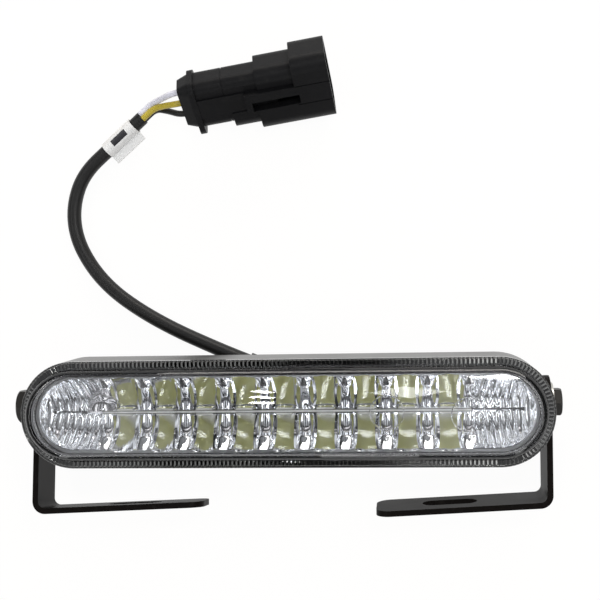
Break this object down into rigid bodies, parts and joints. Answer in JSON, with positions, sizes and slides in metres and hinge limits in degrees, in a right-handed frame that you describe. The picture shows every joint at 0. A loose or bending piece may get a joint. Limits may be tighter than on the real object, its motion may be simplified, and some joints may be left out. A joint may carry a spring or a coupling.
{
  "type": "daytime running light",
  "caption": "Vehicle daytime running light with a clear lens over mirrored cups, swivelling strip brackets at both ends and a short lead with a hooded connector",
  "frame": {"origin": "middle of the back of the housing, on the lamp's axis, at the plane that the lamp lies on", "axes": "+X along the lamp's length, +Y towards the lamp's top edge, +Z out of the lens, the way the light shines"},
  "size_m": [0.1727, 0.1494, 0.0386],
  "materials": {
    "black_housing": "satin moulded black",
    "clear_lens": "clear polycarbonate",
    "black_rubber": "matte",
    "mirror_coating": "vacuum metallised",
    "white_board": "white solder mask",
    "led_body": "matte white",
    "led_yellow": "yellow phosphor",
    "chip_black": "matte",
    "zinc_steel": "zinc plated",
    "dark_steel": "blackened",
    "brass": "turned",
    "black_paint": "satin black paint",
    "cable_black": "smooth",
    "white_film": "satin film",
    "wire_white": "smooth",
    "wire_yellow": "smooth",
    "black_nylon": "satin moulded black",
    "grey_silicone": "soft",
    "tinned_contacts": "tin plated"
  },
  "bodies": {
    "lamp": {"housing": "black_housing", "lens": "clear_lens", "lens_gasket": "black_rubber", "reflector": "mirror_coating", "led_board": "white_board", "led_packages": "led_body", "led_phosphors": "led_yellow", "series_resistors": "chip_black", "current_driver": "chip_black", "board_header": "led_body", "inner_leads": "cable_black", "reflector_screws": "zinc_steel", "left_insert": "brass", "right_insert": "brass", "left_bolt": "dark_steel", "right_bolt": "dark_steel", "left_washer": "zinc_steel", "right_washer": "zinc_steel", "left_spring_washer": "zinc_steel", "cable_grommet": "black_rubber", "cable_sheath": "cable_black", "marker_sleeve": "white_film", "wire_white": "wire_white", "wire_yellow": "wire_yellow", "wire_black": "cable_black", "connector_housing": "black_nylon", "connector_rear_cap": "black_nylon", "wire_seals": "grey_silicone", "contact_tabs": "tinned_contacts", "contact_lock": "black_nylon"},
    "left_bracket": {"left_bracket": "black_paint"},
    "right_bracket": {"right_bracket": "black_paint"}
  },
  "joints": [
    {"name": "left_bracket_swing", "type": "hinge", "parent": "lamp", "child": "left_bracket", "pos_m": [-0.0799, 0, 0.011], "axis": [1, 0, 0], "range_deg": [-31.5, 108.5]},
    {"name": "right_bracket_swing", "type": "hinge", "parent": "lamp", "child": "right_bracket", "pos_m": [0.0799, 0, 0.011], "axis": [1, 0, 0], "range_deg": [-40, 100]}
  ]
}
